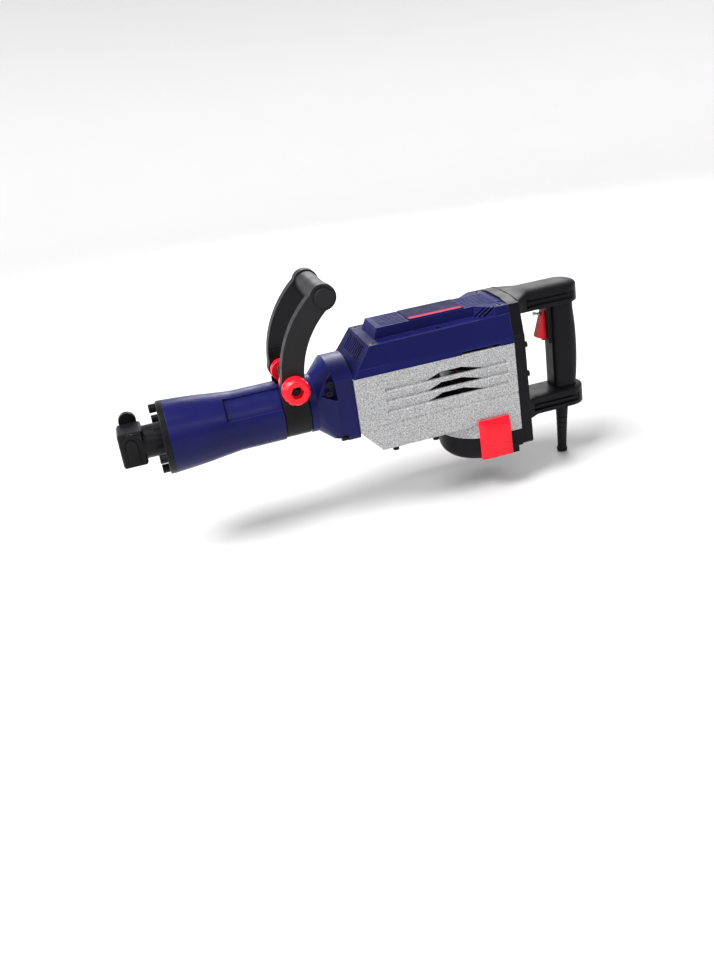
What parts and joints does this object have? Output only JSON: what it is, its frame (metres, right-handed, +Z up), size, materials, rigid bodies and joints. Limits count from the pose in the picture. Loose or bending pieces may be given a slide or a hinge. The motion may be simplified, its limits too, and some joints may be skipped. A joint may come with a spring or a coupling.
{
  "type": "electric jackhammer",
  "caption": "Electric demolition hammer with a hexagonal tool socket, tapered barrel, louvred housing, closed rear handle with trigger, and a swivelling side handle.",
  "frame": {"origin": "centre of the hexagonal tool socket at its mouth", "axes": "+X along the hammer axis from the tool end to the rear grip, +Z up towards the top cover, -Y the side seen first"},
  "size_m": [0.624, 0.1387, 0.3218],
  "materials": {
    "blue_paint": "satin paint on cast metal",
    "blue_plastic": "satin moulded plastic",
    "silver_hammertone": "speckled silver hammertone paint",
    "black_plastic": "fine-textured moulded plastic",
    "side_handle_plastic": "fine-textured moulded plastic",
    "red_plastic": "satin moulded plastic",
    "black_steel": "black oxide on forged steel",
    "dark_steel": "dark phosphated steel",
    "bright_steel": "machined steel",
    "cast_aluminium": "as cast and machined",
    "bronze": "machined bronze",
    "copper": "copper windings and bars",
    "rubber": "moulded rubber",
    "dark_plastic": "moulded plastic",
    "carbon": "pressed carbon",
    "label": "printed plate with a red stripe and no text"
  },
  "bodies": {
    "machine": {"front_cap": "black_steel", "front_flange": "black_steel", "flange_screws": "black_steel", "barrel": "blue_paint", "shank_sleeve": "bright_steel", "bolt_bush": "bronze", "damper_ring": "rubber", "cylinder_tube": "bright_steel", "crank_bearing": "bright_steel", "idler_shaft": "bright_steel", "gear_deck": "cast_aluminium", "crankcase": "blue_paint", "crankcase_bolts": "black_steel", "motor_housing": "silver_hammertone", "housing_screws": "black_steel", "top_cover": "blue_plastic", "cover_screws": "black_steel", "label_plate": "label", "motor_cover": "black_plastic", "brush_cover_left": "red_plastic", "brush_cover_right": "red_plastic", "stator": "dark_steel", "motor_bearings": "bright_steel", "brushes": "carbon", "brush_springs": "bright_steel", "brush_holders": "copper", "rear_housing": "black_plastic", "rear_screws": "black_steel", "upper_arm": "black_plastic", "lower_arm": "black_plastic", "grip_left": "black_plastic", "grip_right": "black_plastic", "switch_block": "dark_plastic", "cord_guard": "rubber"},
    "retainer": {"retainer_lever": "black_steel"},
    "impact_bolt": {"impact_bolt": "bright_steel"},
    "striker": {"striker": "bright_steel", "striker_ring": "rubber"},
    "piston": {"piston": "cast_aluminium", "piston_ring": "rubber", "piston_pin": "bright_steel"},
    "connecting_rod": {"connecting_rod": "dark_steel", "crank_pin": "bright_steel"},
    "crank": {"crank_shaft": "bright_steel", "crank_gear": "dark_steel"},
    "idler": {"idler_gear": "dark_steel"},
    "armature": {"armature_shaft": "bright_steel", "armature_core": "copper", "commutator": "copper", "cooling_fan": "dark_plastic"},
    "trigger": {"trigger": "red_plastic"},
    "lock_pin": {"lock_pin": "bright_steel"},
    "band": {"clamp_band": "black_steel", "clamp_bolt": "black_steel", "band_washers": "red_plastic"},
    "side_handle": {"side_arm_left": "side_handle_plastic", "side_arm_right": "side_handle_plastic", "side_grip": "side_handle_plastic"},
    "knob_left": {"knob_left": "red_plastic"}
  },
  "joints": [
    {"name": "retainer_turn", "type": "hinge", "parent": "machine", "child": "retainer", "pos_m": [0.015, 0, 0.015], "axis": [0, 1, 0], "range_deg": [0, 180]},
    {"name": "impact_bolt_slide", "type": "slide", "parent": "machine", "child": "impact_bolt", "axis": [1, 0, 0], "range_m": [-0.006, 0.006]},
    {"name": "striker_slide", "type": "slide", "parent": "machine", "child": "striker", "axis": [1, 0, 0], "range_m": [-0.0135, 0.0095]},
    {"name": "piston_slide", "type": "slide", "parent": "machine", "child": "piston", "axis": [1, 0, 0], "range_m": [0, 0.034]},
    {"name": "rod_swing", "type": "hinge", "parent": "piston", "child": "connecting_rod", "pos_m": [0.26798, 0, 0], "axis": [0, 0, 1], "range_deg": [-10.6, 10.6]},
    {"name": "armature_spin", "type": "hinge", "parent": "machine", "child": "armature", "pos_m": [0.47, 0, 0], "axis": [0, 0, 1], "continuous": true},
    {"name": "idler_spin", "type": "hinge", "parent": "machine", "child": "idler", "pos_m": [0.4325, 0, 0], "axis": [0, 0, 1], "continuous": true},
    {"name": "crank_spin", "type": "hinge", "parent": "machine", "child": "crank", "pos_m": [0.37738, 0, 0], "axis": [0, 0, 1], "continuous": true},
    {"name": "trigger_pull", "type": "hinge", "parent": "machine", "child": "trigger", "pos_m": [0.59, 0, 0.057], "axis": [0, -1, 0], "range_deg": [0, 10], "stiffness_Nm_per_rad": 0.9, "springref_deg": -14.32},
    {"name": "lock_pin_press", "type": "slide", "parent": "trigger", "child": "lock_pin", "axis": [0.9744, 0, -0.225], "range_m": [0, 0.003], "stiffness_N_per_m": 250, "springref_m": -0.002},
    {"name": "side_handle_swivel", "type": "hinge", "parent": "machine", "child": "band", "pos_m": [0.219, 0, 0], "axis": [1, 0, 0], "continuous": true},
    {"name": "side_handle_tilt", "type": "hinge", "parent": "band", "child": "side_handle", "pos_m": [0.219, 0, 0.043], "axis": [0, 1, 0], "range_deg": [-100, 30]},
    {"name": "knob_left_turn", "type": "hinge", "parent": "band", "child": "knob_left", "pos_m": [0.219, -0.063, 0.043], "axis": [0, -1, 0], "range_deg": [0, 540]}
  ],
  "couplings": [
    {"joint": "idler_spin", "follows": "armature_spin", "ratio": -0.25},
    {"joint": "crank_spin", "follows": "armature_spin", "ratio": 0.1}
  ]
}
